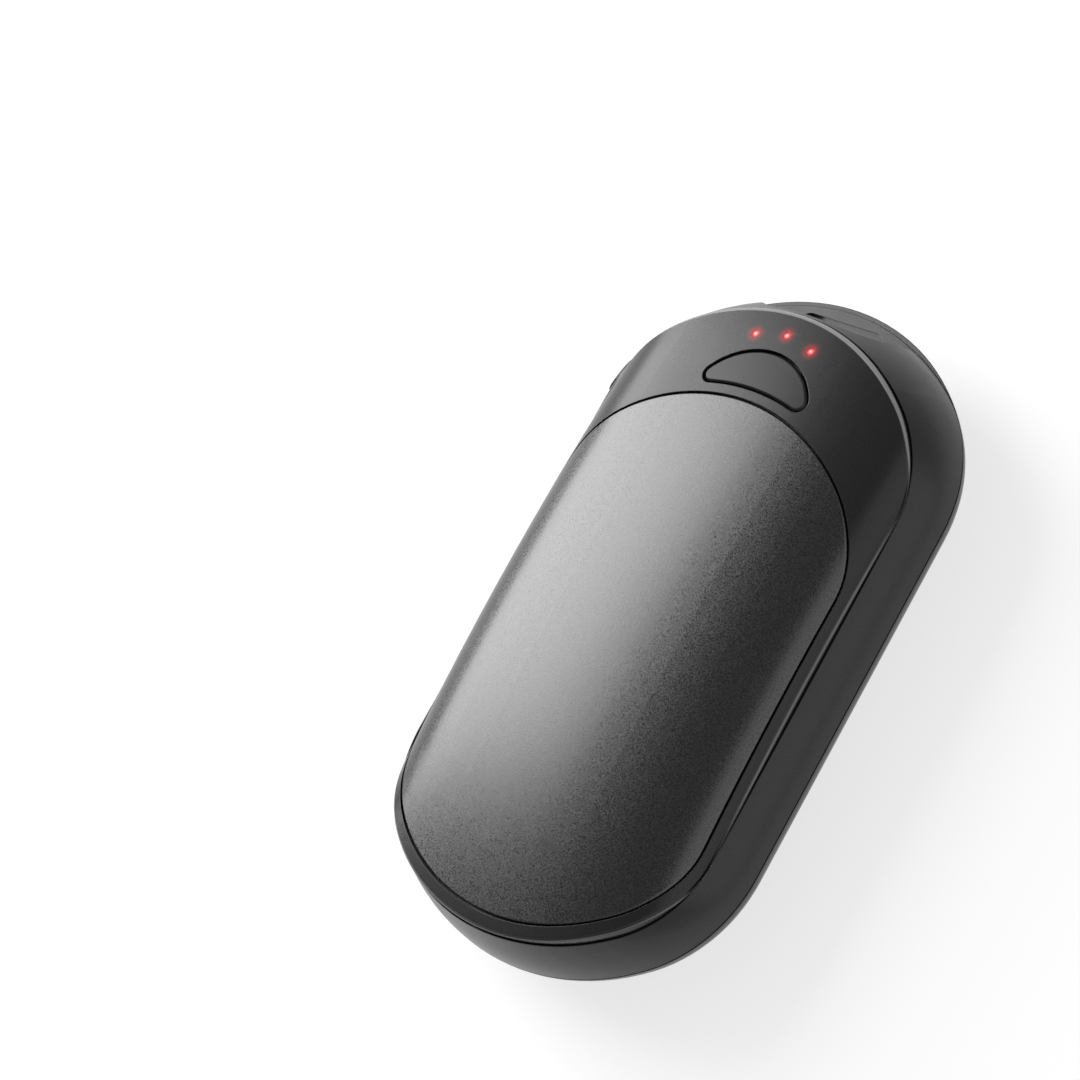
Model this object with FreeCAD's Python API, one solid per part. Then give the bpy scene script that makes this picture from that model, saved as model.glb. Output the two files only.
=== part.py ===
import FreeCAD, Part
import math
import os

V = FreeCAD.Vector
os.makedirs("parts", exist_ok=True)

# Rechargeable hand warmer lying on its back: X is its width, +Y its button end, +Z its front.
# Body outline, seen from the front: straight sides, each end two corner arcs and a nose arc.
BODY_WIDTH = 60.0
BODY_LENGTH = 101.0
NOSE_HALF = 8.0
NOSE_RISE = 2.9

# Height of the seam above the flat of the back, and of the rest above the seam
SEAM_Z = 10.5
LEDGE_UNDER_RISE = 3.1
FACE_SEAT_RISE = 4.4
WALL_TOP_RISE = 9.6

# Sloping wall of the mid housing: how far it leans in at its top, and how it bows
SIDE_LEAN = 8.5
TOP_LEAN = 5.8
BOTTOM_LEAN = 2.3
WALL_BOW = 1.5
WALL_T = 2.0

# Rounded back: a tight arc below the seam and a wide one that runs into the flat it rests on
BACK_EDGE_R = 4.8
BACK_FLAT_HALF = 10.0
BACK_WALL_T = 1.5
SEAM_GROOVE_H = 0.3
SEAM_GROOVE_D = 0.7

# Front face: crowned along, and across with arcs that tighten towards each side until the face is upright
CROWN_END_DROP = 3.6
CROWN_RADII = (150.0, 60.0, 25.0, 9.0)
CROWN_TURNS = (10.0, 22.0, 90.0)
CROWN_PAST_EDGE = 0.99
CROWN_PAST_END = 10.0
FACE_RIM_H = 0.56
FACE_INSET = 3.64
FACE_TOP_INSET = 5.5
FACE_BOTTOM_INSET = 2.2
FACE_GAP = 0.2
FACE_CHAMFER = 0.4
BEZEL_SKIRT_T = 2.4
BEZEL_CEILING_RISE = 3.7
BEZEL_HOLLOW_HALF = 16.0
LEDGE_W = 1.6

# Front warming plate
PLATE_T = 1.0
PLATE_EDGE = 0.2
PLATE_SIDE_MARGIN = 1.2
PLATE_BOTTOM_MARGIN = 2.2
PLATE_TOP_MARGIN = 14.6
PLATE_GAP = 0.25
PLATE_LIP_W = 2.5
GLUE_GAP = 0.1

# Rear warming plate
REAR_PLATE_HALF = 14.0
REAR_PLATE_T = 1.4
REAR_LIP_W = 1.5
FLOOR_Z = 3.0

# Heater films, foam and temperature beads
FILM_T = 0.3
FILM_CLEAR = 0.05
FILM_EDGE = 0.4
FILM_SIDE_ROOM = 14.0
FILM_R = 8.0
FOAM_CLEAR = 0.1
FOAM_EDGE = 1.0
REAR_FOAM_SHORT = 4.5
BEAD_R = 0.9
BEAD_LENGTH = 3.0

# Half-moon button above the plate, and its switch
BUTTON_R = 9.9
BUTTON_RISE = 5.8
BUTTON_PLATE_GAP = 2.0
BUTTON_CORNER_R = 1.2
BUTTON_GAP = 0.35
BUTTON_EDGE = 0.25
BUTTON_TRAVEL = 0.4
BUTTON_FLANGE_W = 0.8
BUTTON_FLANGE_T = 1.0
BUTTON_STEM_R = 1.6
MOVING_GAP = 0.15
SWITCH_SIZE = 6.0
SWITCH_H = 2.6
PLUNGER_R = 1.7
PLUNGER_RISE = 0.9
PLUNGER_DEPTH = 1.0
PLUNGER_GAP = 0.1

# Three status lights on an arc above the button
LIGHT_STEP_X = 4.8
LIGHT_MARGIN = 3.7
LIGHT_ARC_R = 11.0
LIGHT_R = 0.5
LIGHT_GAP = 0.05
LIGHT_BAR_EDGE = 0.2
LIGHT_BAR_T = 1.0
LIGHT_BAR_RISE = 1.3
LED_SIZE = 1.6
LED_H = 0.6
LED_CLEAR = 0.4

# Strap scoop in the top end, with the slot behind the bridge that a strap loops round
SCOOP_DEPTH = 4.9
SCOOP_FLAT = 7.0
SCOOP_FLARE_R = 9.2
SCOOP_REACH = 7.5
SCOOP_WALL = 1.8
STRAP_LEDGE_OUT = 0.8
BRIDGE_W = 2.4
SLOT_HALF = 7.0
SLOT_WALL_GAP = 0.3

# Soft flap over the charging inlet, on the upper left wall
FLAP_T = 1.5
FLAP_GAP = 0.2
FLAP_TIP_ASIDE = 8.56
FLAP_END_BACK = 21.0
FLAP_TIP_H = 3.2
FLAP_TAB_H = 4.3
TAB_LENGTH = 5.2
TAB_PROUD = 0.4
TAB_LOW = 2.1
TAB_HIGH = 3.5
TAB_CORNER_R = 1.2
TAB_CLEAR = 0.15
FLAP_BACK_T = 1.2
FLAP_RIM = 1.0
ANCHOR_R = 0.9
ANCHOR_HEAD_R = 1.4
ANCHOR_HEAD_T = 0.8
ANCHOR_BACK = 2.2
ANCHOR_GAP = 0.05
ANCHOR_LENGTH = 4.1

# Charging inlet, a mid-mount socket let into the board's edge, square to the wall behind the flap
USB_TURN = 29.0
USB_RISE = 2.0
ROUND_END = 0.45
USB_WIDTH = 8.94
USB_HEIGHT = 3.2
USB_DEPTH = 7.3
USB_WALL = 0.25
USB_SETBACK = 3.5
USB_TONGUE_W = 6.7
USB_TONGUE_T = 0.7
USB_TONGUE_R = 0.2
USB_TONGUE_SHORT = 1.0
USB_BACK_T = 1.5
PORT_CLEAR = 0.7
PLUG_RIB_W = 5.6
PLUG_RIB_T = 1.6
PLUG_RIB_R = 0.4
PLUG_RIB_DEPTH = 0.6

# Main board
BOARD_T = 1.0
BOARD_INSET = 4.6
BOARD_TOP_BACK = 7.4
BOARD_DEPTH = 13.1
BOARD_SLOT_GAP = 0.15
BOARD_ANCHOR_GAP = 0.5

# Cell and its tray
TRAY_SIDE_GAP = 0.85
CELL_BELOW_SIDES = 3.4
CELL_POST_GAP = 2.7
CELL_T = 12.0
CELL_R = 2.5
TRAY_T = 0.8
TRAY_FLOOR_T = 0.9
TRAY_H = 6.0
TRAY_GAP = 0.2
GUARD_T = 1.0
GUARD_SIDE = 6.0
GUARD_H = 8.0

# Screws
POST_R = 2.4
LUG_R = 2.6
PILOT_R = 1.0
SCREW_R = 0.9
SCREW_HOLE_R = 1.15
SCREW_HEAD_R = 1.8
SCREW_HEAD_T = 1.2
SCREW_LENGTH = 6.0
SCREW_HEAD_GAP = 0.4
TOP_LUG_PAST = 1.76
TOP_LUG_ASIDE = 2.48
BOTTOM_LUG_IN = 18.0
BOTTOM_LUG_BELOW_SIDES = 9.4
BOARD_SCREW_PAST = 0.7
BOARD_SCREW_ASIDE = 2.86
BOARD_SCREW_HEAD_T = 0.5

# Wires
WIRE_R = 0.5
WIRE_STEP = 2.0
WIRE_CLEAR = 0.1
WIRE_BOARD_RUN = 2.0
WIRE_FILM_BACK = 8.0

# Chips on the board: width, depth, height, and the near corner from the board's middle and lower edge
CONTROLLER = (5.0, 5.0, 0.9)
CONTROLLER_AT = (-12.0, 0.4)
CHARGER = (3.0, 3.0, 0.9)
CHARGER_AT = (14.6, 0.2)
INDUCTOR = (5.0, 5.0, 2.5)
INDUCTOR_AT = (8.2, 0.2)
INDUCTOR_R = 1.0

HALF_WIDTH = BODY_WIDTH / 2
HALF_LENGTH = BODY_LENGTH / 2
CORNER_R = HALF_WIDTH - NOSE_HALF
END_DEPTH = CORNER_R + NOSE_RISE
SIDES_TOP_Y = HALF_LENGTH - END_DEPTH
LEDGE_UNDER_Z = SEAM_Z + LEDGE_UNDER_RISE
FACE_SEAT_Z = SEAM_Z + FACE_SEAT_RISE
WALL_TOP_Z = SEAM_Z + WALL_TOP_RISE
BEZEL_CEILING_Z = FACE_SEAT_Z + BEZEL_CEILING_RISE
LENGTH_CROWN_R = (HALF_LENGTH ** 2 + CROWN_END_DROP ** 2) / (2 * CROWN_END_DROP)
FACE_TOP_Y = HALF_LENGTH - FACE_TOP_INSET
FACE_BOTTOM_Y = FACE_BOTTOM_INSET - HALF_LENGTH
PLATE_INSET = FACE_INSET + PLATE_SIDE_MARGIN
PLATE_TOP_Y = FACE_TOP_Y - PLATE_TOP_MARGIN
PLATE_BOTTOM_Y = FACE_BOTTOM_Y + PLATE_BOTTOM_MARGIN
FAR = 4 * BODY_LENGTH


def nose_radius(corner_r, end_depth):
    """Radius of the arc that closes an end between its two corner arcs."""
    return (end_depth ** 2 + NOSE_HALF ** 2 - corner_r ** 2) / (2 * (end_depth - corner_r))


def nose_meet(corner_r, end_depth):
    """Angle round a corner arc at which the nose arc takes over."""
    return math.atan2(nose_radius(corner_r, end_depth) - end_depth, NOSE_HALF)


def outline(inset, top_y, bottom_y, z, top_out=0):
    """Pebble outline drawn in by inset, between the tips of its ends; the top nose stands out by top_out."""
    corner_r = CORNER_R - inset
    depths = {1: END_DEPTH - inset + top_out, -1: END_DEPTH - inset}
    centres = {1: top_y - depths[1], -1: bottom_y + depths[-1]}
    tips = {1: top_y, -1: bottom_y}

    def on_corner(side, end, angle):
        x = side * (NOSE_HALF + corner_r * math.cos(angle))
        return V(x, centres[end] + end * corner_r * math.sin(angle), z)

    def end_edges(end):
        meet = nose_meet(corner_r, depths[end])
        edges = [Part.Arc(on_corner(1, end, meet), V(0, tips[end], z), on_corner(-1, end, meet)).toShape()]
        for side in (-1, 1):
            points = [on_corner(side, end, angle) for angle in (0, meet / 2, meet)]
            edges.append(Part.Arc(*points).toShape())
        return edges

    edges = end_edges(1) + end_edges(-1)
    for side in (-1, 1):
        edges.append(Part.LineSegment(on_corner(side, -1, 0), on_corner(side, 1, 0)).toShape())
    return Part.Wire(Part.__sortEdges__(edges))


def prism(inset, top_y, bottom_y, low_z, high_z, top_out=0):
    """Straight block with the pebble outline."""
    face = Part.Face(outline(inset, top_y, bottom_y, low_z, top_out))
    return face.extrude(V(0, 0, high_z - low_z))


def face_prism(grow, low_z, high_z):
    """Block with the front face's outline, grown by grow all round."""
    return prism(FACE_INSET - grow, FACE_TOP_Y + grow, FACE_BOTTOM_Y - grow, low_z, high_z)


def plate_prism(grow, low_z, high_z):
    """Block with the front plate's outline, grown by grow all round."""
    return prism(PLATE_INSET - grow, PLATE_TOP_Y + grow, PLATE_BOTTOM_Y - grow, low_z, high_z)


def lean(amount, z):
    """How far a wall that leans in by amount at its top has come in at height z."""
    return amount * ((z - SEAM_Z) / (WALL_TOP_Z - SEAM_Z)) ** WALL_BOW


def wall_solid(inset, high_z):
    """The sloping wall filled in, drawn in by inset, from the seam up to high_z."""
    wires = []
    for step in range(4):
        z = SEAM_Z + (high_z - SEAM_Z) * step / 3
        top_y = HALF_LENGTH - lean(TOP_LEAN, z) - inset
        bottom_y = lean(BOTTOM_LEAN, z) + inset - HALF_LENGTH
        wires.append(outline(lean(SIDE_LEAN, z) + inset, top_y, bottom_y, z))
    return Part.makeLoft(wires, True, False)


BACK_DRAW = HALF_WIDTH - BACK_FLAT_HALF
BACK_TURN = math.pi / 2 - 2 * math.atan((SEAM_Z - BACK_EDGE_R) / (BACK_DRAW - BACK_EDGE_R))
BACK_WIDE_R = BACK_EDGE_R + (BACK_DRAW - BACK_EDGE_R) / math.cos(BACK_TURN)
REAR_PLATE_DRAW = HALF_WIDTH - REAR_PLATE_HALF
BACK_TOP_Y = HALF_LENGTH + STRAP_LEDGE_OUT


def back_prism(inset, low_z, high_z):
    """Upright block with the back's outline, drawn in by inset."""
    return prism(inset, BACK_TOP_Y - inset, inset - HALF_LENGTH, low_z, high_z, STRAP_LEDGE_OUT)


def back_section(edge):
    """Section of the back's rim with its rounding, from edge inwards, in the plane of X and Z."""
    def tight(turn):
        return V(edge - BACK_EDGE_R * (1 - math.cos(turn)), 0, SEAM_Z - BACK_EDGE_R * math.sin(turn))

    def wide(turn):
        return V(edge - BACK_DRAW + BACK_WIDE_R * math.cos(turn), 0, BACK_WIDE_R * (1 - math.sin(turn)))

    half_turn = (BACK_TURN + math.pi / 2) / 2
    foot = wide(math.pi / 2)
    head = V(foot.x, 0, SEAM_Z)
    edges = [
        Part.Arc(tight(0), tight(BACK_TURN / 2), tight(BACK_TURN)).toShape(),
        Part.Arc(tight(BACK_TURN), wide(half_turn), foot).toShape(),
        Part.LineSegment(foot, head).toShape(),
        Part.LineSegment(head, tight(0)).toShape(),
    ]
    return Part.Face(Part.Wire(edges))


def back_solid(inset):
    """The rounded back filled in, drawn in by inset: its rim follows the sides, corners and noses."""
    corner_r = CORNER_R - inset
    solid = back_prism(BACK_DRAW + inset, 0, SEAM_Z)
    flank = back_section(HALF_WIDTH - inset).extrude(V(0, 2 * SIDES_TOP_Y, 0))
    flank.translate(V(0, -SIDES_TOP_Y, 0))
    solid = solid.fuse(flank).fuse(flank.mirror(V(0, 0, 0), V(1, 0, 0)))
    for end, depth in ((1, END_DEPTH - inset + STRAP_LEDGE_OUT), (-1, END_DEPTH - inset)):
        nose_r = nose_radius(corner_r, depth)
        meet = math.degrees(nose_meet(corner_r, depth))
        corner = back_section(corner_r).revolve(V(0, 0, 0), V(0, 0, 1), end * meet)
        corner.translate(V(NOSE_HALF, end * SIDES_TOP_Y, 0))
        solid = solid.fuse(corner).fuse(corner.mirror(V(0, 0, 0), V(1, 0, 0)))
        nose = back_section(nose_r)
        nose.rotate(V(0, 0, 0), V(0, 0, 1), end * meet)
        nose = nose.revolve(V(0, 0, 0), V(0, 0, 1), end * (180 - 2 * meet))
        nose.translate(V(0, end * (SIDES_TOP_Y + depth - nose_r), 0))
        solid = solid.fuse(nose)
    return solid.removeSplitter()


def back_draw(z):
    """How far the rounded back has come in at a height near its flat."""
    return BACK_DRAW - math.sqrt(BACK_WIDE_R ** 2 - (BACK_WIDE_R - z) ** 2)


def rear_prism(grow, low_z, high_z):
    """Block with the rear plate's outline, grown by grow all round."""
    return back_prism(REAR_PLATE_DRAW - grow, low_z, high_z)


def crown_arcs():
    """Arcs of the front's section, crest to side: radius, middle in X and Z, first and last turn."""
    turns = [math.radians(turn) for turn in CROWN_TURNS]
    rest = CROWN_RADII[1] * math.sin(turns[0])
    for radius, start, end in zip(CROWN_RADII[2:], turns, turns[1:]):
        rest += radius * (math.sin(end) - math.sin(start))
    reach = HALF_WIDTH - FACE_INSET + CROWN_PAST_EDGE
    first_turn = math.asin((reach - rest) / (CROWN_RADII[0] - CROWN_RADII[1]))
    arcs = []
    x = 0
    z = -CROWN_RADII[0]
    start = 0
    for index, end in enumerate([first_turn] + turns):
        radius = CROWN_RADII[index]
        if index > 0:
            x += (CROWN_RADII[index - 1] - radius) * math.sin(start)
            z += (CROWN_RADII[index - 1] - radius) * math.cos(start)
        arcs.append((radius, x, z, start, end))
        start = end
    return arcs


def face_drop(x):
    """How far the front's section lies below its crest at x from the middle."""
    for radius, middle_x, middle_z, start, end in crown_arcs():
        if x <= middle_x + radius * math.sin(end):
            return -middle_z - math.sqrt(radius ** 2 - (x - middle_x) ** 2)


def length_drop(x, y):
    """How far the crowned front lies below its section at y from the middle."""
    radius = LENGTH_CROWN_R - face_drop(x)
    return radius - math.sqrt(radius ** 2 - y ** 2)


# The bezel's rim is lowest where its straight sides run into its lower corners
FACE_EDGE_X = HALF_WIDTH - FACE_INSET
LOW_RIM_Y = FACE_BOTTOM_Y + END_DEPTH - FACE_INSET
CREST_Z = FACE_SEAT_Z + FACE_RIM_H + face_drop(FACE_EDGE_X) + length_drop(FACE_EDGE_X, LOW_RIM_Y)


def under_face(depth):
    """Everything under the crowned front, lowered by depth: the arched section swept along a long arc."""
    def on_arc(side, arc, turn):
        radius, middle_x, middle_z = arc[:3]
        x = side * (middle_x + (radius - depth) * math.sin(turn))
        return V(x, 0, CREST_Z + middle_z + (radius - depth) * math.cos(turn))

    arcs = crown_arcs()
    crest = arcs[0]
    crest_left = on_arc(-1, crest, crest[4])
    crest_right = on_arc(1, crest, crest[4])
    edges = [Part.Arc(crest_left, V(0, 0, CREST_Z - depth), crest_right).toShape()]
    for side in (1, -1):
        for arc in arcs[1:]:
            start, end = arc[3:]
            points = [on_arc(side, arc, turn) for turn in (start, (start + end) / 2, end)]
            edges.append(Part.Arc(*points).toShape())
    right_end = on_arc(1, arcs[-1], arcs[-1][4])
    left_end = V(-right_end.x, 0, right_end.z)
    right_foot = V(right_end.x, 0, -CREST_Z)
    left_foot = V(left_end.x, 0, -CREST_Z)
    edges.append(Part.LineSegment(right_end, right_foot).toShape())
    edges.append(Part.LineSegment(right_foot, left_foot).toShape())
    edges.append(Part.LineSegment(left_foot, left_end).toShape())
    section = Part.Face(Part.Wire(Part.__sortEdges__(edges)))
    pivot = V(0, 0, CREST_Z - LENGTH_CROWN_R)
    swing = math.degrees(math.asin((HALF_LENGTH + CROWN_PAST_END) / LENGTH_CROWN_R))
    section.rotate(pivot, V(1, 0, 0), -swing)
    return section.revolve(pivot, V(1, 0, 0), 2 * swing)


def face_z(x, y):
    """Height of the crowned front."""
    return CREST_Z - face_drop(x) - length_drop(x, y)


def cylinder(radius, x, y, low_z, high_z):
    return Part.makeCylinder(radius, high_z - low_z, V(x, y, low_z))


def box(low_x, high_x, low_y, high_y, low_z, high_z):
    return Part.makeBox(high_x - low_x, high_y - low_y, high_z - low_z, V(low_x, low_y, low_z))


def square_block(size, x, y, low_z, high_z):
    """Block on a square foot, centred on x and y."""
    return box(x - size / 2, x + size / 2, y - size / 2, y + size / 2, low_z, high_z)


def rounded_box(low_x, high_x, low_y, high_y, low_z, high_z, radius):
    """Block with its four upright edges rounded."""
    block = box(low_x, high_x, low_y, high_y, low_z, high_z)
    upright = [e for e in block.Edges if abs(e.tangentAt(e.FirstParameter).z) > 0.99]
    return block.makeFillet(radius, upright)


def bar_along_x(low_x, high_x, y, z, width, height, radius):
    """Block along X with the four edges along X rounded."""
    block = box(low_x, high_x, y - width / 2, y + width / 2, z - height / 2, z + height / 2)
    along = [e for e in block.Edges if abs(e.tangentAt(e.FirstParameter).x) > 0.99]
    return block.makeFillet(radius, along)


def save(node, shape):
    shape.removeSplitter().exportStep("parts/" + node + ".step")


USB_REAR = USB_SETBACK + USB_DEPTH


def at_port(shape):
    """Turn a piece drawn with +X inward and the wall at zero to the charging inlet's place."""
    angle = math.radians(USB_TURN)
    x = -NOSE_HALF - CORNER_R * math.cos(angle)
    shape.rotate(V(0, 0, 0), V(0, 0, 1), -USB_TURN)
    shape.translate(V(x, SIDES_TOP_Y + CORNER_R * math.sin(angle), 0))
    return shape


def beside_port(past, aside):
    """A place past the inlet's inner end and to one side of it, and its mirror image on the right."""
    place = at_port(Part.Vertex(USB_REAR + past, aside, 0))
    return [(place.X, place.Y), (-place.X, place.Y)]


# Front bezel: a frame that stands on the housing's ledge, with the plate's pocket and a hollow top end.
def rim_edges(blank, ring, low_z):
    """The edges of a blank where its crowned top meets its upright rim."""
    found = []
    for edge in blank.Edges:
        middle = edge.valueAt((edge.FirstParameter + edge.LastParameter) / 2)
        on_ring = ring.distToShape(Part.Vertex(middle.x, middle.y, 0))[0] < 0.001
        if on_ring and edge.BoundBox.ZMin > low_z:
            found.append(edge)
    return found


def half_moon(grow, low_z, high_z):
    """The button's outline, a round top over a foot along the plate's upper edge, as an upright block."""
    round_y = PLATE_TOP_Y + BUTTON_PLATE_GAP + BUTTON_RISE - BUTTON_R
    moon = cylinder(BUTTON_R + grow, 0, round_y, low_z, high_z)
    moon = moon.cut(plate_prism(BUTTON_PLATE_GAP - grow, low_z, high_z))
    tips = []
    for edge in moon.Edges:
        start = edge.valueAt(edge.FirstParameter)
        upright = edge.BoundBox.ZLength > (high_z - low_z) * 0.9
        if upright and abs(start.x) > BUTTON_R / 2:
            tips.append(edge)
    return moon.makeFillet(BUTTON_CORNER_R + grow, tips)


def light_places():
    """Centres of the three lights, on an arc that bows towards the top end."""
    middle_y = FACE_TOP_Y - LIGHT_MARGIN
    drop = LIGHT_ARC_R - math.sqrt(LIGHT_ARC_R ** 2 - LIGHT_STEP_X ** 2)
    return [(-LIGHT_STEP_X, middle_y - drop), (0, middle_y), (LIGHT_STEP_X, middle_y - drop)]


front = under_face(0)
TOP_LUGS = beside_port(TOP_LUG_PAST, -USB_WIDTH / 2 - TOP_LUG_ASIDE)
BOARD_SCREWS = beside_port(BOARD_SCREW_PAST, USB_WIDTH / 2 + BOARD_SCREW_ASIDE)
BOTTOM_LUG_Y = -SIDES_TOP_Y - BOTTOM_LUG_BELOW_SIDES
BOTTOM_LUGS = [(side * (HALF_WIDTH - BOTTOM_LUG_IN), BOTTOM_LUG_Y) for side in (-1, 1)]
LUGS = TOP_LUGS + BOTTOM_LUGS
blank = face_prism(0, FACE_SEAT_Z, CREST_Z + 1).common(front)
face_ring = outline(FACE_INSET, FACE_TOP_Y, FACE_BOTTOM_Y, 0)
bezel = blank.makeChamfer(FACE_CHAMFER, rim_edges(blank, face_ring, FACE_SEAT_Z + FACE_CHAMFER / 2))
opening_top_y = PLATE_TOP_Y - PLATE_LIP_W
hollow = box(-BEZEL_HOLLOW_HALF, BEZEL_HOLLOW_HALF, opening_top_y - WIRE_FILM_BACK, FAR,
             FACE_SEAT_Z - 1, BEZEL_CEILING_Z)
bezel = bezel.cut(hollow.common(face_prism(-BEZEL_SKIRT_T, FACE_SEAT_Z - 1, BEZEL_CEILING_Z)))
pocket = plate_prism(PLATE_GAP, FACE_SEAT_Z, CREST_Z + 1).cut(under_face(PLATE_T + GLUE_GAP))
bezel = bezel.cut(pocket)
bezel = bezel.cut(plate_prism(-PLATE_LIP_W, FACE_SEAT_Z - 1, CREST_Z + 1))
for x, y in LUGS:
    head_room_z = FACE_SEAT_Z + SCREW_HEAD_T + SCREW_HEAD_GAP
    bezel = bezel.cut(cylinder(SCREW_HEAD_R + SCREW_HEAD_GAP, x, y, FACE_SEAT_Z - 1, head_room_z))
bezel = bezel.cut(half_moon(BUTTON_GAP, FACE_SEAT_Z, CREST_Z))
for x, y in light_places():
    bezel = bezel.cut(cylinder(LIGHT_R + LIGHT_GAP, x, y, FACE_SEAT_Z, CREST_Z))
save("front_bezel", bezel)

# Front warming plate: a crowned sheet of even thickness with its upper edge broken.
blank = plate_prism(0, FACE_SEAT_Z - PLATE_T, CREST_Z + 1).common(front)
plate_ring = outline(PLATE_INSET, PLATE_TOP_Y, PLATE_BOTTOM_Y, 0)
plate = blank.makeChamfer(PLATE_EDGE, rim_edges(blank, plate_ring, FACE_SEAT_Z))
save("front_heat_plate", plate.cut(under_face(PLATE_T)))

# Heights and places that the inner pieces share
BOARD_MIDDLE_Z = SEAM_Z + USB_RISE
BOARD_LOW_Z = BOARD_MIDDLE_Z - BOARD_T / 2
BOARD_HIGH_Z = BOARD_LOW_Z + BOARD_T
BOARD_TOP_Y = HALF_LENGTH - BOARD_TOP_BACK
BOARD_BOTTOM_Y = BOARD_TOP_Y - BOARD_DEPTH
CELL_LOW_Z = FLOOR_Z + TRAY_FLOOR_T
CELL_HIGH_Z = CELL_LOW_Z + CELL_T
ROOM_INSET = back_draw(FLOOR_Z) + BACK_WALL_T
CELL_HALF = HALF_WIDTH - ROOM_INSET - TRAY_SIDE_GAP - TRAY_T - TRAY_GAP
CELL_BOTTOM_Y = -SIDES_TOP_Y - CELL_BELOW_SIDES
CELL_TOP_Y = TOP_LUGS[0][1] - POST_R - CELL_POST_GAP
BUTTON_Y = PLATE_TOP_Y + BUTTON_PLATE_GAP + BUTTON_RISE / 2


# Mid housing: the sloping ring, with a ledge for the bezel, screw lugs, the strap scoop and the flap's bed.
def scoop(low_z, high_z):
    """Strap scoop seen from the front: a flat floor that flares out to the wall at both sides."""
    floor_y = HALF_LENGTH - SCOOP_DEPTH
    angle = math.asin(SCOOP_REACH / SCOOP_FLARE_R)

    def flare(side, turn):
        x = side * (SCOOP_FLAT + SCOOP_FLARE_R * math.sin(turn))
        return V(x, floor_y + SCOOP_FLARE_R * (1 - math.cos(turn)), low_z)

    outside_y = HALF_LENGTH + SCOOP_FLARE_R
    right = V(flare(1, angle).x, outside_y, low_z)
    left = V(-right.x, outside_y, low_z)
    edges = [
        Part.LineSegment(flare(-1, 0), flare(1, 0)).toShape(),
        Part.Arc(flare(1, 0), flare(1, angle / 2), flare(1, angle)).toShape(),
        Part.LineSegment(flare(1, angle), right).toShape(),
        Part.LineSegment(right, left).toShape(),
        Part.LineSegment(left, flare(-1, angle)).toShape(),
        Part.Arc(flare(-1, angle), flare(-1, angle / 2), flare(-1, 0)).toShape(),
    ]
    return Part.Face(Part.Wire(edges)).extrude(V(0, 0, high_z - low_z))


def scoop_backing(low_z, high_z):
    """Room kept solid behind the scoop."""
    reach = SCOOP_FLAT + SCOOP_REACH
    return box(-reach, reach, HALF_LENGTH - SCOOP_DEPTH - SCOOP_WALL, FAR, low_z, high_z)


# The flap hangs at its tip, beside the inlet, on an upright line on the seam's outline.
NOSE_R = nose_radius(CORNER_R, END_DEPTH)
NOSE_CENTRE = V(0, HALF_LENGTH - NOSE_R, SEAM_Z)
FLAP_TIP_X = at_port(Part.Vertex(0, 0, 0)).X + FLAP_TIP_ASIDE
FLAP_TIP = NOSE_CENTRE + V(FLAP_TIP_X, math.sqrt(NOSE_R ** 2 - FLAP_TIP_X ** 2), 0)
FLAP_END_Y = HALF_LENGTH - FLAP_END_BACK
INWARD = (NOSE_CENTRE - FLAP_TIP).normalize()
ALONG = V(INWARD.y, -INWARD.x, 0)


def past_tip(grow):
    """Everything on the flap's side of its tip."""
    start = FLAP_TIP - ALONG * grow
    corners = []
    for across, up in ((-1, -1), (1, -1), (1, 1), (-1, 1), (-1, -1)):
        corners.append(start + INWARD * (across * FAR) + V(0, 0, up * FAR))
    return Part.Face(Part.makePolygon(corners)).extrude(ALONG * FAR)


def flap_window(grow):
    """Everything behind the flap, seen from the side: an S-shaped upper edge over the seam."""
    tip_y = HALF_LENGTH
    end_y = FLAP_END_Y - grow
    middle_y = (tip_y + end_y) / 2
    low_z = SEAM_Z + FLAP_GAP - grow
    tip_z = SEAM_Z + FLAP_TIP_H + grow
    tab_z = SEAM_Z + FLAP_TAB_H + grow
    corners = [V(-FAR, tip_y, tip_z), V(-FAR, end_y, tab_z), V(-FAR, end_y, low_z), V(-FAR, tip_y, low_z)]
    upper = Part.BezierCurve()
    upper.setPoles([corners[0], V(-FAR, middle_y, tip_z), V(-FAR, middle_y, tab_z), corners[1]])
    edges = [
        upper.toShape(),
        Part.LineSegment(corners[1], corners[2]).toShape(),
        Part.LineSegment(corners[2], corners[3]).toShape(),
        Part.LineSegment(corners[3], corners[0]).toShape(),
    ]
    return Part.Face(Part.Wire(edges)).extrude(V(FAR, 0, 0)).common(past_tip(grow))


def port_bar(start, end, width, height, radius):
    """Rounded bar along the inlet's axis, at the board's middle height."""
    return at_port(bar_along_x(start, end, 0, BOARD_MIDDLE_Z, width, height, radius))


outer_wall = wall_solid(0, WALL_TOP_Z)
ledge = face_prism(0, LEDGE_UNDER_Z, FACE_SEAT_Z).common(outer_wall)
housing = outer_wall.cut(face_prism(FACE_GAP, FACE_SEAT_Z, FAR))
housing = housing.cut(face_prism(-LEDGE_W, SEAM_Z - 1, FAR))
FLAP_BED_T = FLAP_T + FLAP_GAP
flap_pad = flap_window(FLAP_GAP + FLAP_RIM).cut(wall_solid(FLAP_BED_T + FLAP_BACK_T, WALL_TOP_Z))
inner_top_y = HALF_LENGTH - lean(TOP_LEAN, LEDGE_UNDER_Z) - WALL_T
inner_bottom_y = lean(BOTTOM_LEAN, LEDGE_UNDER_Z) + WALL_T - HALF_LENGTH
inner_inset = lean(SIDE_LEAN, LEDGE_UNDER_Z) + WALL_T
inner_wall = prism(inner_inset, inner_top_y, inner_bottom_y, SEAM_Z, LEDGE_UNDER_Z)
inner_wall = inner_wall.cut(scoop_backing(0, FAR)).cut(flap_pad)
housing = housing.cut(inner_wall)
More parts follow.
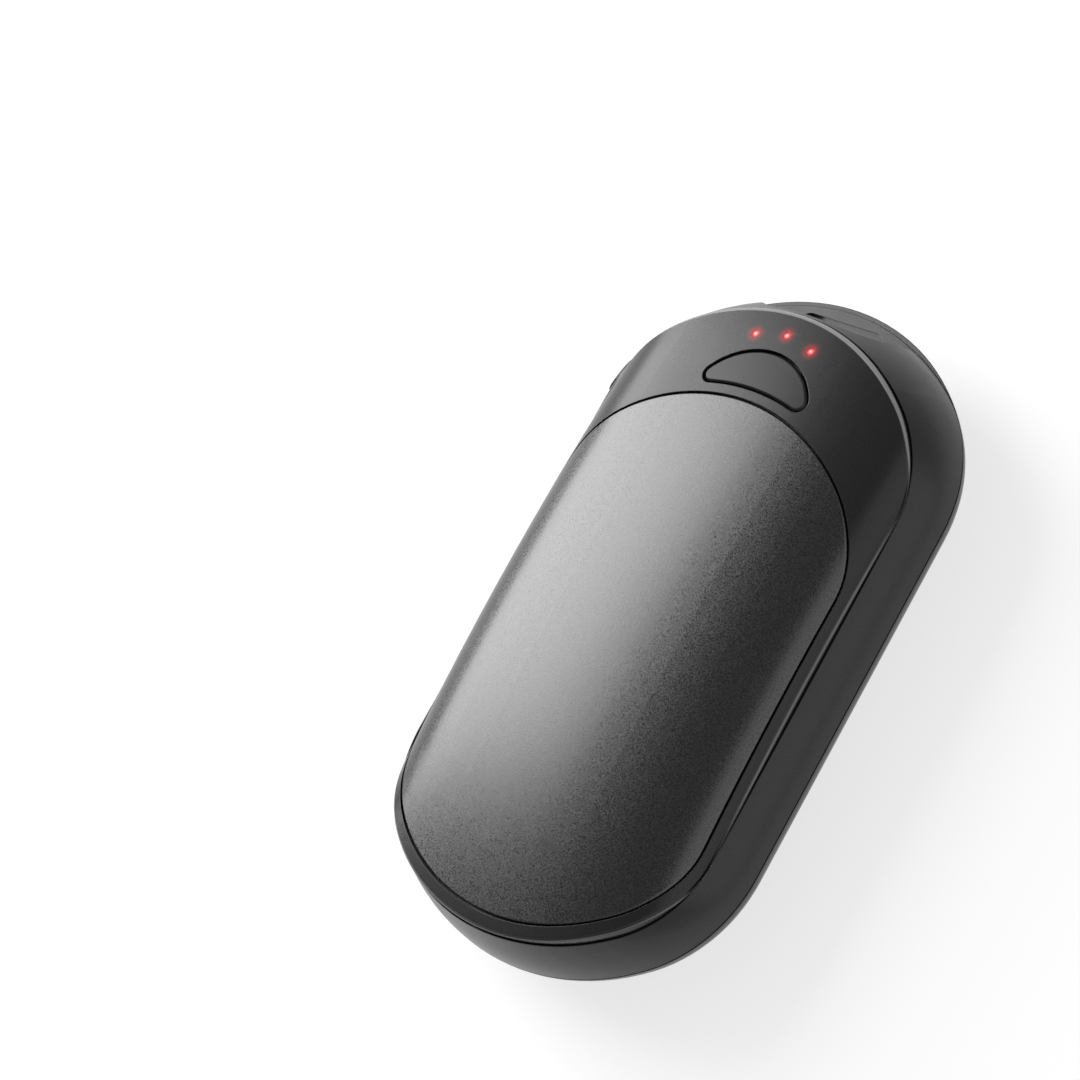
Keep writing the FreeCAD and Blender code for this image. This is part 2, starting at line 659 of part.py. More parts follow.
for x, y in LUGS:
    housing = housing.fuse(cylinder(LUG_R, x, y, LEDGE_UNDER_Z, FACE_SEAT_Z))
for x, y in TOP_LUGS:
    side = math.copysign(1, x)
    edge_x = side * (HALF_WIDTH - FACE_INSET)
    arm = box(min(x, edge_x), max(x, edge_x), y - LUG_R, y + LUG_R, LEDGE_UNDER_Z, FACE_SEAT_Z)
    housing = housing.fuse(arm.common(ledge))
for x, y in BOTTOM_LUGS:
    arm = box(x - LUG_R, x + LUG_R, FACE_BOTTOM_Y, y, LEDGE_UNDER_Z, FACE_SEAT_Z)
    housing = housing.fuse(arm.common(ledge))
for x, y in LUGS:
    housing = housing.cut(cylinder(SCREW_HOLE_R, x, y, LEDGE_UNDER_Z - 1, FACE_SEAT_Z + 1))
housing = housing.cut(scoop(SEAM_Z - 1, FAR))
flap_bed = wall_solid(-TAB_PROUD, WALL_TOP_Z).cut(wall_solid(FLAP_BED_T, WALL_TOP_Z))
housing = housing.cut(flap_bed.common(flap_window(FLAP_GAP)))
port_width = USB_WIDTH + 2 * PORT_CLEAR
port_height = USB_HEIGHT + 2 * PORT_CLEAR
housing = housing.cut(port_bar(0, USB_REAR, port_width, port_height, port_height * ROUND_END))
anchor_at = FLAP_TIP + ALONG * ANCHOR_BACK + V(0, 0, FLAP_TIP_H / 2)
housing = housing.cut(Part.makeCylinder(ANCHOR_R + ANCHOR_GAP, CORNER_R / 2, anchor_at, INWARD))
save("mid_housing", housing)

# Rear shell: the rounded back with the rear plate's pocket, posts, and the strap bridge at its top end.
tip_wall_y = HALF_LENGTH - SCOOP_DEPTH
back = back_solid(0)
room = back_prism(ROOM_INSET, FLOOR_Z, SEAM_Z)
shell = back.cut(room.cut(scoop_backing(-1, FAR)))
shell = shell.cut(rear_prism(PLATE_GAP, -1, REAR_PLATE_T))
shell = shell.cut(rear_prism(-REAR_LIP_W, -1, FLOOR_Z))
for x, y in LUGS:
    post = cylinder(POST_R, x, y, FLOOR_Z, LEDGE_UNDER_Z)
    shell = shell.fuse(post)
for x, y in BOARD_SCREWS:
    shell = shell.fuse(cylinder(POST_R, x, y, FLOOR_Z, BOARD_LOW_Z))
for x, y in LUGS:
    shell = shell.cut(cylinder(PILOT_R, x, y, LEDGE_UNDER_Z - SCREW_LENGTH, LEDGE_UNDER_Z))
for x, y in BOARD_SCREWS:
    shell = shell.cut(cylinder(PILOT_R, x, y, BOARD_LOW_Z - SCREW_LENGTH, BOARD_LOW_Z))
slot_low_y = tip_wall_y + SLOT_WALL_GAP
slot_high_y = BACK_TOP_Y - BRIDGE_W
slot_r = (slot_high_y - slot_low_y) * ROUND_END
slot = rounded_box(-SLOT_HALF, SLOT_HALF, slot_low_y, slot_high_y, -1, SEAM_Z + 1, slot_r)
shell = shell.cut(slot)
groove_low_z = SEAM_Z - SEAM_GROOVE_H
groove = back_prism(-SEAM_GROOVE_D, groove_low_z, SEAM_Z)
shell = shell.cut(groove.cut(back_prism(SEAM_GROOVE_D, groove_low_z, SEAM_Z)))
save("rear_shell", shell)

# Rear warming plate: nearly flat sheet let into the back, whose flat the part rests on.
rear_plate = back.common(rear_prism(0, 0, REAR_PLATE_T))
save("rear_heat_plate", rear_plate)

# Heater films behind the plates
film_half = HALF_WIDTH - FILM_SIDE_ROOM
film_low_y = BOTTOM_LUG_Y
film_high_y = opening_top_y - FILM_EDGE - NOSE_RISE
film = rounded_box(-film_half, film_half, film_low_y, film_high_y, FACE_SEAT_Z, CREST_Z, FILM_R)
film = film.common(under_face(PLATE_T + FILM_CLEAR))
film = film.cut(under_face(PLATE_T + FILM_CLEAR + FILM_T))
save("front_heater_film", film)
rear_film_z = REAR_PLATE_T + FILM_T
rear_film = rear_prism(-REAR_LIP_W - FILM_EDGE, REAR_PLATE_T, rear_film_z)
save("rear_heater_film", rear_film)

# Insulation between the heaters and the cell
foam_x = CELL_HALF - FOAM_EDGE
foam_block = rounded_box(-foam_x, foam_x, CELL_BOTTOM_Y + FOAM_EDGE, CELL_TOP_Y - FOAM_EDGE,
                         CELL_HIGH_Z, CREST_Z, CELL_R)
front_foam = foam_block.common(under_face(PLATE_T + FILM_CLEAR + FILM_T + FOAM_CLEAR))
save("front_foam", front_foam)
rear_high_y = rear_film.BoundBox.YMax
rear_low_y = rear_film.BoundBox.YMin
foam_room = box(-FAR, FAR, rear_low_y + REAR_FOAM_SHORT, rear_high_y - REAR_FOAM_SHORT, 0, FAR)
save("rear_foam", rear_prism(-REAR_LIP_W - FILM_EDGE, rear_film_z, FLOOR_Z).common(foam_room))

# Temperature beads on the free ends of the heaters
bead_y = rear_high_y - FILM_EDGE - BEAD_R
bead_z = rear_film_z + BEAD_R
bead = Part.makeCylinder(BEAD_R, BEAD_LENGTH, V(-BEAD_LENGTH / 2, bead_y, bead_z), V(1, 0, 0))
save("rear_thermistor", bead)
front_bead_y = (CELL_BOTTOM_Y + film_low_y) / 2
front_film_z = face_z(BEAD_LENGTH / 2, front_bead_y) - PLATE_T - FILM_CLEAR - FILM_T
bead = Part.makeCylinder(BEAD_R, BEAD_LENGTH,
                         V(-BEAD_LENGTH / 2, front_bead_y, front_film_z - FOAM_CLEAR - BEAD_R), V(1, 0, 0))
save("front_thermistor", bead)

# Power button: the half moon with a retaining flange behind the bezel and a stem over the switch
SWITCH_TOP_Z = BOARD_HIGH_Z + SWITCH_H
PLUNGER_TOP_Z = SWITCH_TOP_Z + PLUNGER_RISE
flange_high_z = BEZEL_CEILING_Z - MOVING_GAP
flange_low_z = flange_high_z - BUTTON_FLANGE_T
cap = half_moon(0, flange_low_z, CREST_Z).common(front)
top_edges = [e for e in cap.Edges if e.BoundBox.ZMin > BEZEL_CEILING_Z]
cap = cap.makeChamfer(BUTTON_EDGE, top_edges)
flange = half_moon(BUTTON_FLANGE_W, flange_low_z, flange_high_z)
stem = cylinder(BUTTON_STEM_R, 0, BUTTON_Y, PLUNGER_TOP_Z + PLUNGER_GAP, flange_high_z)
button = cap.fuse(flange).fuse(stem)
save("power_button", button)

# Tact switch under the button
body = square_block(SWITCH_SIZE, 0, BUTTON_Y, BOARD_HIGH_Z, SWITCH_TOP_Z)
plunger_low_z = SWITCH_TOP_Z - PLUNGER_DEPTH
bore_low_z = plunger_low_z - BUTTON_TRAVEL - MOVING_GAP
body = body.cut(cylinder(PLUNGER_R + PLUNGER_GAP, 0, BUTTON_Y, bore_low_z, SWITCH_TOP_Z + 1))
save("switch_body", body)
save("switch_plunger", cylinder(PLUNGER_R, 0, BUTTON_Y, plunger_low_z, PLUNGER_TOP_Z))

# Status lights on the board, and the clear guide that brings them to the face
LED_TOP_Z = BOARD_HIGH_Z + LED_H
leds = []
guide = None
for x, y in light_places():
    leds.append(square_block(LED_SIZE, x, y, BOARD_HIGH_Z, LED_TOP_Z))
    pin = cylinder(LIGHT_R, x, y, LED_TOP_Z + LED_CLEAR, CREST_Z).common(under_face(LIGHT_GAP))
    guide = pin if guide is None else guide.fuse(pin)
save("status_leds", Part.makeCompound(leds))
bar_low_z = FACE_SEAT_Z + LIGHT_BAR_RISE
bar_grow = LIGHT_R + LIGHT_BAR_EDGE
places = light_places()
bar = box(places[0][0] - bar_grow, places[2][0] + bar_grow, places[0][1] - bar_grow, places[1][1] + bar_grow,
          bar_low_z, bar_low_z + LIGHT_BAR_T)
save("light_guide", guide.fuse(bar))

# Main board with a slot in its left edge for the inlet
board = prism(BOARD_INSET, HALF_LENGTH - BOARD_INSET, BOARD_INSET - HALF_LENGTH, BOARD_LOW_Z, BOARD_HIGH_Z)
board = board.common(box(-FAR, FAR, BOARD_BOTTOM_Y, BOARD_TOP_Y, 0, FAR))
slot_width = USB_WIDTH + 2 * BOARD_SLOT_GAP
board_slot = box(0, USB_REAR + BOARD_SLOT_GAP, -slot_width / 2, slot_width / 2, 0, CREST_Z)
board = board.cut(at_port(board_slot))
board = board.cut(Part.makeCylinder(ANCHOR_HEAD_R + BOARD_ANCHOR_GAP, CORNER_R / 2, anchor_at, INWARD))
for x, y in BOARD_SCREWS:
    board = board.cut(cylinder(SCREW_HOLE_R, x, y, 0, CREST_Z))
board = max(board.Solids, key=lambda piece: piece.Volume)
save("main_board", board)

# Charging inlet: a drawn metal shell round a tongue
usb_shell = port_bar(USB_SETBACK, USB_REAR, USB_WIDTH, USB_HEIGHT, USB_HEIGHT * ROUND_END)
bore_width = USB_WIDTH - 2 * USB_WALL
bore_height = USB_HEIGHT - 2 * USB_WALL
bore_r = bore_height * ROUND_END
save("usb_socket_shell", usb_shell.cut(port_bar(0, USB_REAR + 1, bore_width, bore_height, bore_r)))
tongue_start = USB_SETBACK + USB_TONGUE_SHORT
tongue = port_bar(tongue_start, USB_REAR, USB_TONGUE_W, USB_TONGUE_T, USB_TONGUE_R)
tongue_back = port_bar(USB_REAR - USB_BACK_T, USB_REAR, bore_width, bore_height, bore_r)
save("usb_socket_tongue", tongue.fuse(tongue_back))

# Port cover: the soft flap in its bed, the raised pull tab over the seam and the rib that plugs the inlet
flap = wall_solid(0, WALL_TOP_Z).cut(wall_solid(FLAP_T, WALL_TOP_Z)).common(flap_window(0))
TAB_Y = FLAP_END_Y - FLAP_T + TAB_LENGTH / 2
tab_middle_z = SEAM_Z + (TAB_HIGH - TAB_LOW) / 2
pull = bar_along_x(-FAR, -CORNER_R, TAB_Y, tab_middle_z, TAB_LENGTH, TAB_HIGH + TAB_LOW, TAB_CORNER_R)
tab_room = wall_solid(-TAB_PROUD, WALL_TOP_Z).fuse(back_solid(-TAB_PROUD))
tab = pull.common(tab_room).cut(wall_solid(-TAB_CLEAR, WALL_TOP_Z)).cut(back_solid(-TAB_CLEAR))
root = pull.common(wall_solid(-TAB_PROUD, WALL_TOP_Z)).cut(wall_solid(FLAP_T, WALL_TOP_Z))
root = root.common(flap_window(0))
rib = port_bar(0, USB_SETBACK + PLUG_RIB_DEPTH, PLUG_RIB_W, PLUG_RIB_T, PLUG_RIB_R)
rib = rib.common(wall_solid(0, WALL_TOP_Z))
cover = flap.fuse(tab).fuse(root).fuse(rib)
save("port_cover", cover)

# Stud that ties the flap to the wall, with a head inside
anchor_skin = wall_solid(FLAP_BED_T, WALL_TOP_Z)
stud = Part.makeCylinder(ANCHOR_R, ANCHOR_LENGTH, anchor_at, INWARD).common(anchor_skin)
head = Part.makeCylinder(ANCHOR_HEAD_R, ANCHOR_HEAD_T, anchor_at + INWARD * ANCHOR_LENGTH, INWARD)
save("port_cover_anchor", stud.fuse(head))

# Cell, its protection board and its tray
cell = rounded_box(-CELL_HALF, CELL_HALF, CELL_BOTTOM_Y, CELL_TOP_Y, CELL_LOW_Z, CELL_HIGH_Z, CELL_R)
save("battery_cell", cell)
guard_half = CELL_HALF - GUARD_SIDE
guard_y = CELL_TOP_Y + GUARD_T
guard_low_z = CELL_LOW_Z + (CELL_T - GUARD_H) / 2
guard = box(-guard_half, guard_half, CELL_TOP_Y, guard_y, guard_low_z, guard_low_z + GUARD_H)
save("cell_protection_board", guard)
tray_in = CELL_HALF + TRAY_GAP
tray_out = tray_in + TRAY_T
tray_low_y = CELL_BOTTOM_Y - TRAY_GAP
tray_high_y = guard_y + TRAY_GAP
tray_top_z = CELL_LOW_Z + TRAY_H
tray = rounded_box(-tray_out, tray_out, tray_low_y - TRAY_T, tray_high_y + TRAY_T,
                   FLOOR_Z, tray_top_z, CELL_R + TRAY_T)
tray = tray.cut(rounded_box(-tray_in, tray_in, tray_low_y, tray_high_y, CELL_LOW_Z, tray_top_z, CELL_R))
save("cell_tray", tray)


# Wires: straight runs, cut off flush where they are soldered
def wire(start, end):
    """Straight wire along a line, running on past both of its ends."""
    run = end - start
    return Part.makeCylinder(WIRE_R, 3 * run.Length, start - run, run)


cell_wires = []
front_wires = []
rear_wires = []
cell_wire_z = tray_top_z + WIRE_R + WIRE_CLEAR
board_wire_y = BOARD_BOTTOM_Y + WIRE_BOARD_RUN
film_wire_y = opening_top_y - WIRE_FILM_BACK + WIRE_BOARD_RUN
rear_wire_y = rear_high_y - REAR_FOAM_SHORT + 2 * WIRE_R
under_board = box(-FAR, FAR, guard_y, FAR, 0, BOARD_LOW_Z)
over_board = under_face(PLATE_T + FILM_CLEAR + FILM_T + FOAM_CLEAR)
over_board = over_board.common(box(-FAR, FAR, -FAR, FAR, BOARD_HIGH_Z, FAR))
for side in (-1, 1):
    x = side * WIRE_STEP
    run = wire(V(x, guard_y, cell_wire_z), V(x, board_wire_y, BOARD_LOW_Z))
    cell_wires.append(run.common(under_board))
    x += side * (2 * WIRE_R + WIRE_CLEAR)
    rear_wires.append(cylinder(WIRE_R, x, rear_wire_y, rear_film_z, BOARD_LOW_Z))
    x = side * (SWITCH_SIZE / 2 + WIRE_STEP)
    run = wire(V(x, film_wire_y, face_z(abs(x), film_wire_y)), V(x, board_wire_y, BOARD_HIGH_Z))
    front_wires.append(run.common(over_board))
save("battery_leads", Part.makeCompound(cell_wires))
save("front_heater_leads", Part.makeCompound(front_wires))
save("rear_heater_leads", Part.makeCompound(rear_wires))


# Chips on the board
def chip(size, near):
    width, depth, height = size
    y = BOARD_BOTTOM_Y + near[1]
    return box(near[0], near[0] + width, y, y + depth, BOARD_HIGH_Z, BOARD_HIGH_Z + height)


save("controller_chip", chip(CONTROLLER, CONTROLLER_AT))
save("charger_chip", chip(CHARGER, CHARGER_AT))
coil = chip(INDUCTOR, INDUCTOR_AT)
coil_edges = [e for e in coil.Edges if abs(e.tangentAt(e.FirstParameter).z) > 0.99]
save("boost_inductor", coil.makeFillet(INDUCTOR_R, coil_edges))


# Screws: a flat head on a plain shank
def screw(x, y, seat_z, head_t):
    shank = cylinder(SCREW_R, x, y, seat_z - SCREW_LENGTH, seat_z)
    return shank.fuse(cylinder(SCREW_HEAD_R, x, y, seat_z, seat_z + head_t))


save("case_screws", Part.makeCompound([screw(x, y, FACE_SEAT_Z, SCREW_HEAD_T) for x, y in LUGS]))
low_heads = [screw(x, y, BOARD_HIGH_Z, BOARD_SCREW_HEAD_T) for x, y in BOARD_SCREWS]
save("board_screws", Part.makeCompound(low_heads))
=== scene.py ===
import math
import bmesh
import bpy
from mathutils import Matrix, Vector

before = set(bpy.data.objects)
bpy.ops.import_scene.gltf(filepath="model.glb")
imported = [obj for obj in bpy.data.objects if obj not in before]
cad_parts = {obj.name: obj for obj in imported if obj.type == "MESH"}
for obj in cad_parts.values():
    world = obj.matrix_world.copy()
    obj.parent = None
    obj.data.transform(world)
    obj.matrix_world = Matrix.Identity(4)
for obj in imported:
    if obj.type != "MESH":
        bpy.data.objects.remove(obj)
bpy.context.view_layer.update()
scene = bpy.context.scene
scene.view_settings.view_transform = "Standard"


# Rear shell: the rounded back half, moulded in black ABS with a fine spark-eroded texture.
# Its rim is the ledge and the bridge that a wrist strap loops round, and it carries the posts for the screws.
NOISE_RANGE = (0.3, 0.7)
GRAIN_RANGE = (0.28, 0.72)
CLOUD_SCALE = 220.0
# Range of the softened normal's lean over which an edge gets its painted highlight.
EDGE_HIGHLIGHT_BEND = (0.99, 0.85)
MOULDED_GRAIN = {"Width": 0.00021, "Depth": 0.000005, "Edge": 0.00015}


def new_finish(name, colour, metallic=0.0):
    """A finish of one plain colour, to which its detail is added: its material, its tree and its shader."""
    material = bpy.data.materials.new(name)
    material.use_nodes = True
    shader = material.node_tree.nodes["Principled BSDF"]
    shader.inputs["Base Color"].default_value = (*colour, 1)
    shader.inputs["Metallic"].default_value = metallic
    return material, material.node_tree, shader


def lay(tree, kind, *links, **values):
    """Lay a node in a tree: links are pairs of a source and the socket that it feeds."""
    made = tree.nodes.new("ShaderNode" + kind)
    for name, value in values.items():
        if name in made.bl_rna.properties:
            setattr(made, name, value)
        else:
            made.inputs[name.replace("_", " ")].default_value = value
    for source, socket in links:
        tree.links.new(source, made.inputs[socket])
    return made


def feed(node, **sources):
    """Link sources to a node's sockets, in whose names _ stands for a space."""
    for name, source in sources.items():
        node.id_data.links.new(source, node.inputs[name.replace("_", " ")])


def work(tree, operation, first, second=0.0):
    """One sum: each side is a socket or a plain number."""
    made = lay(tree, "Math", operation=operation)
    for index, side in enumerate((first, second)):
        if isinstance(side, (int, float)):
            made.inputs[index].default_value = side
        else:
            tree.links.new(side, made.inputs[index])
    return made.outputs[0]


def tint(tree, mask, low, high):
    """Colour that goes from low to high with a mask; each is a colour or a socket."""
    made = lay(tree, "Mix", (mask, 0), data_type="RGBA")
    for index, side in ((6, low), (7, high)):
        if isinstance(side, tuple):
            made.inputs[index].default_value = (*side, 1)
        else:
            tree.links.new(side, made.inputs[index])
    return made.outputs[2]


def ramp(tree, value, start, end, low=0.0, high=1.0):
    """Value that goes from low to high as another goes from start to end."""
    made = lay(tree, "MapRange", (value, "Value"), From_Min=start, From_Max=end, To_Min=low, To_Max=high)
    return made.outputs[0]


def between(tree, mask, low, high):
    """Value that goes from low to high with a mask."""
    return ramp(tree, mask, 0.0, 1.0, low, high)


def spread(tree, speckle, low, high):
    """Value that goes from low to high over the range that a noise mostly keeps to."""
    return ramp(tree, speckle, *NOISE_RANGE, low, high)


def noise(tree, place, **values):
    """Noise over a place, from about 0 to 1."""
    return lay(tree, "TexNoise", (place, "Vector"), **values).outputs["Fac"]


def place_on_piece(tree):
    """Place on the piece, in metres."""
    return lay(tree, "TexCoord").outputs["Object"]


def axes(tree, place):
    """A place's three parts, X, Y and Z."""
    return lay(tree, "SeparateXYZ", (place, "Vector")).outputs


def new_effect(name, inputs, outputs):
    """An effect that finishes share: its tree, the values that it is given, and the node for its results."""
    tree = bpy.data.node_groups.new(name, "ShaderNodeTree")
    for way, sockets in (("INPUT", inputs), ("OUTPUT", outputs)):
        for socket, kind in sockets.items():
            tree.interface.new_socket(socket, in_out=way, socket_type="NodeSocket" + kind)
    return tree, tree.nodes.new("NodeGroupInput").outputs, tree.nodes.new("NodeGroupOutput")


def place_effect(tree, effect, **values):
    """Place an effect in a finish, with its own values."""
    made = tree.nodes.new("ShaderNodeGroup")
    made.node_tree = effect
    made.name = effect.name
    for name, value in values.items():
        made.inputs[name].default_value = value
    return made


def make_grain():
    """Fine grain of moulded or blasted skins: bumps with their tone, a slow cloud, softened edges and a mask
    for a painted highlight along them.
    """
    tree, given, result = new_effect(
        "fine_grain", {"Width": "Float", "Depth": "Float", "Edge": "Float"},
        {"Tone": "Float", "Cloud": "Float", "Rim": "Float", "Normal": "Vector"})
    place = place_on_piece(tree)
    scale = work(tree, "DIVIDE", 1.0, given["Width"])
    speckle = lay(tree, "TexNoise", (place, "Vector"), (scale, "Scale"), Detail=1.0, Roughness=0.6)
    tone = ramp(tree, speckle.outputs["Fac"], *GRAIN_RANGE)
    soft = lay(tree, "Bevel", (given["Edge"], "Radius"), samples=6).outputs["Normal"]
    flat = lay(tree, "NewGeometry").outputs["Normal"]
    # The paler edge mask is a painted highlight: it grows where the softened normal leans away from the
    # face's own.
    bend = lay(tree, "VectorMath", (soft, 0), (flat, 1), operation="DOT_PRODUCT").outputs["Value"]
    bump = lay(tree, "Bump", (tone, "Height"), (given["Depth"], "Distance"), (soft, "Normal"), Strength=0.6)
    feed(result, Tone=tone, Cloud=noise(tree, place, Scale=CLOUD_SCALE, Detail=3.0),
         Rim=ramp(tree, bend, *EDGE_HIGHLIGHT_BEND), Normal=bump.outputs["Normal"])
    return tree


fine_grain = make_grain()


def moulded(name, dark, light, smooth, rough):
    """Moulded plastic or rubber: its shade varies with the grain and is paler at edges as a painted
    highlight, its gloss with the cloud.
    """
    material, tree, shader = new_finish(name, dark)
    skin = place_effect(tree, fine_grain, **MOULDED_GRAIN).outputs
    shade = tint(tree, skin["Tone"], dark, light)
    # Edges are tinted towards the light colour: a painted highlight along them.
    feed(shader, Base_Color=tint(tree, skin["Rim"], shade, light),
         Roughness=spread(tree, skin["Cloud"], smooth, rough), Normal=skin["Normal"])
    return material


shell_black = moulded("shell_black", dark=(0.013, 0.013, 0.014), light=(0.024, 0.024, 0.025),
                      smooth=0.29, rough=0.33)


def wear(material, *names):
    """Put a finish on CAD pieces."""
    for name in names:
        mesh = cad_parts[name].data
        mesh.materials.clear()
        mesh.materials.append(material)


wear(shell_black, "rear_shell")

# Rear warming plate: the same pressed aluminium sheet as in front, bead-blasted and anodised a dark gunmetal,
# bonded into the back from outside. Its flat is what the part rests on.
PLATE_GRAIN = {"Width": 0.00018, "Depth": 0.000006, "Edge": 0.00012}
PLATE_DARK = (0.056, 0.056, 0.056)
PLATE_LIGHT = (0.118, 0.118, 0.118)
PLATE_EDGE_HIGHLIGHT = (0.15, 0.15, 0.15)
PLATE_GLOSS = (0.19, 0.40)


def blasted(name):
    """Blasted and anodised aluminium: its shade and gloss vary with the grain, and its edges are paler, a
    painted highlight.
    """
    material, tree, shader = new_finish(name, PLATE_DARK, metallic=1.0)
    skin = place_effect(tree, fine_grain, **PLATE_GRAIN).outputs
    shade = tint(tree, skin["Tone"], PLATE_DARK, PLATE_LIGHT)
    # Edges get a paler grey: a painted edge highlight.
    feed(shader, Base_Color=tint(tree, skin["Rim"], shade, PLATE_EDGE_HIGHLIGHT),
         Roughness=between(tree, skin["Tone"], *PLATE_GLOSS), Normal=skin["Normal"])
    return material


wear(blasted("blasted_gunmetal"), "rear_heat_plate")

# Heater films: amber polyimide with an etched copper track that runs to and fro along the plate.
# Each is stuck to the inside of its plate.
AMBER_DARK = (0.40, 0.15, 0.025)
AMBER_LIGHT = (0.52, 0.23, 0.05)
TRACK_COPPER = (0.50, 0.22, 0.11)
TRACK_STEP = 0.0011
TRACK_EDGE = (0.42 * TRACK_STEP, 0.5 * TRACK_STEP)
TRACK_DEPTH = 0.00003
STAIN_SCALE = 160.0
FILM_GLOSS = (0.28, 0.40)


def relief(tree, height, depth, strength):
    """Normal of a relief whose height goes from 0 to 1 over its depth."""
    return lay(tree, "Bump", (height, "Height"), Distance=depth, Strength=strength).outputs["Normal"]


film_amber, tree, shader = new_finish("film_amber", AMBER_DARK)
place = place_on_piece(tree)
track = ramp(tree, work(tree, "PINGPONG", axes(tree, place)["X"], TRACK_STEP), *TRACK_EDGE)
stain = noise(tree, place, Scale=STAIN_SCALE, Detail=4.0)
amber = tint(tree, stain, AMBER_DARK, AMBER_LIGHT)
feed(shader, Base_Color=tint(tree, track, amber, TRACK_COPPER), Roughness=spread(tree, stain, *FILM_GLOSS),
     Normal=relief(tree, track, TRACK_DEPTH, strength=0.6))
wear(film_amber, "rear_heater_film", "front_heater_film")

# Temperature beads: small thermistors dipped in dark epoxy.
# One sits on the free end of each heater.
bead_epoxy = moulded("bead_epoxy", dark=(0.03, 0.022, 0.018), light=(0.06, 0.045, 0.035),
                     smooth=0.18, rough=0.28)
wear(bead_epoxy, "rear_thermistor", "front_thermistor")

# Insulation: sheets of pale open-cell foam, cut with a knife.
# They lie between the heaters and the cell and keep the heat off it.
FOAM_PORE_SHADE = (0.30, 0.29, 0.26)
FOAM_PALE = (0.66, 0.65, 0.61)
FOAM_GLOSS = (1.0, 0.85)
PORE_SCALE = 2200.0
PORE_RANGE = (0.05, 0.45)
PORE_DEPTH = 0.00015
foam_pale, tree, shader = new_finish("foam_pale", FOAM_PALE)
pores = lay(tree, "TexVoronoi", (place_on_piece(tree), "Vector"), Scale=PORE_SCALE, Randomness=1.0)
hollow = ramp(tree, pores.outputs["Distance"], *PORE_RANGE)
# The pores are darker: painted shade in their hollows.
feed(shader, Base_Color=tint(tree, hollow, FOAM_PORE_SHADE, FOAM_PALE),
     Roughness=between(tree, hollow, *FOAM_GLOSS), Normal=relief(tree, hollow, PORE_DEPTH, strength=0.8))
wear(foam_pale, "rear_foam", "front_foam")

# Cell tray: an open box moulded in grey nylon.
# It holds the cell off the shell's floor.
tray_nylon = moulded("tray_nylon", dark=(0.10, 0.10, 0.10), light=(0.15, 0.15, 0.148),
                     smooth=0.45, rough=0.55)
wear(tray_nylon, "cell_tray")

# Cell: a lithium pouch in aluminium laminate, laid in the tray.
# Its skin is faintly wrinkled where it was drawn round the stack.
POUCH_DARK = (0.50, 0.51, 0.52)
POUCH_LIGHT = (0.66, 0.67, 0.68)
POUCH_GLOSS = (0.28, 0.46)
WRINKLE_SCALE = 140.0
WRINKLE_DEPTH = 0.0004
LAMINATE_SCALE = 2600.0
pouch_silver, tree, shader = new_finish("pouch_silver", POUCH_DARK, metallic=0.85)
place = place_on_piece(tree)
pull = noise(tree, place, Scale=WRINKLE_SCALE, Detail=5.0, Roughness=0.6)
fine = noise(tree, place, Scale=LAMINATE_SCALE, Detail=2.0)
feed(shader, Base_Color=tint(tree, fine, POUCH_DARK, POUCH_LIGHT), Roughness=spread(tree, pull, *POUCH_GLOSS),
     Normal=relief(tree, pull, WRINKLE_DEPTH, strength=0.5))
wear(pouch_silver, "battery_cell")

# Main board and the cell's protection board: glass epoxy under green solder mask, through which the copper
# shows as slightly paler tracks. The main board lies on the rear shell's posts.
MASK_GREEN = (0.008, 0.05, 0.022)
TRACE_GREEN = (0.02, 0.11, 0.045)
BOARD_GLOSS = (0.34, 0.24)
TRACE_STEP = 0.0006
TRACE_EDGE = (0.55 * TRACE_STEP, 0.62 * TRACE_STEP)
TRACE_DEPTH = 0.00002
PATCH_SCALE = 240.0
UPRIGHT_SHARE = (0.5, 0.52)
SLANTED_SHARE = (0.7, 0.72)


def pick(tree, mask, first, second):
    """The first value where a mask is 0, and the second where it is 1."""
    return lay(tree, "Mix", (mask, 0), (first, 2), (second, 3)).outputs[0]


board_green, tree, shader = new_finish("board_green", MASK_GREEN)
place = place_on_piece(tree)
level, upright = axes(tree, place)[:2]
traces = []
for run in (level, upright, work(tree, "ADD", level, upright)):
    traces.append(ramp(tree, work(tree, "PINGPONG", run, TRACE_STEP), *TRACE_EDGE))
patch = lay(tree, "TexVoronoi", (place, "Vector"), Scale=PATCH_SCALE, distance="CHEBYCHEV").outputs["Color"]
patch = lay(tree, "SeparateColor", (patch, "Color")).outputs
copper = pick(tree, ramp(tree, patch["Red"], *UPRIGHT_SHARE), traces[0], traces[1])
copper = pick(tree, ramp(tree, patch["Green"], *SLANTED_SHARE), copper, traces[2])
feed(shader, Base_Color=tint(tree, copper, MASK_GREEN, TRACE_GREEN),
     Roughness=between(tree, copper, *BOARD_GLOSS), Normal=relief(tree, copper, TRACE_DEPTH, strength=0.5))
wear(board_green, "main_board", "cell_protection_board")

# Controller and charger: chips in moulded black epoxy.
# Both are soldered flat on the board.
chip_epoxy = moulded("chip_epoxy", dark=(0.018, 0.018, 0.018), light=(0.035, 0.035, 0.034),
                     smooth=0.5, rough=0.62)
wear(chip_epoxy, "controller_chip", "charger_chip")

# Boost inductor: a block of pressed iron powder, matt grey and faintly granular.
# It is soldered on the board beside the chips.
ferrite = moulded("pressed_ferrite", dark=(0.07, 0.07, 0.07), light=(0.13, 0.13, 0.127),
                  smooth=0.6, rough=0.75)
wear(ferrite, "boost_inductor")

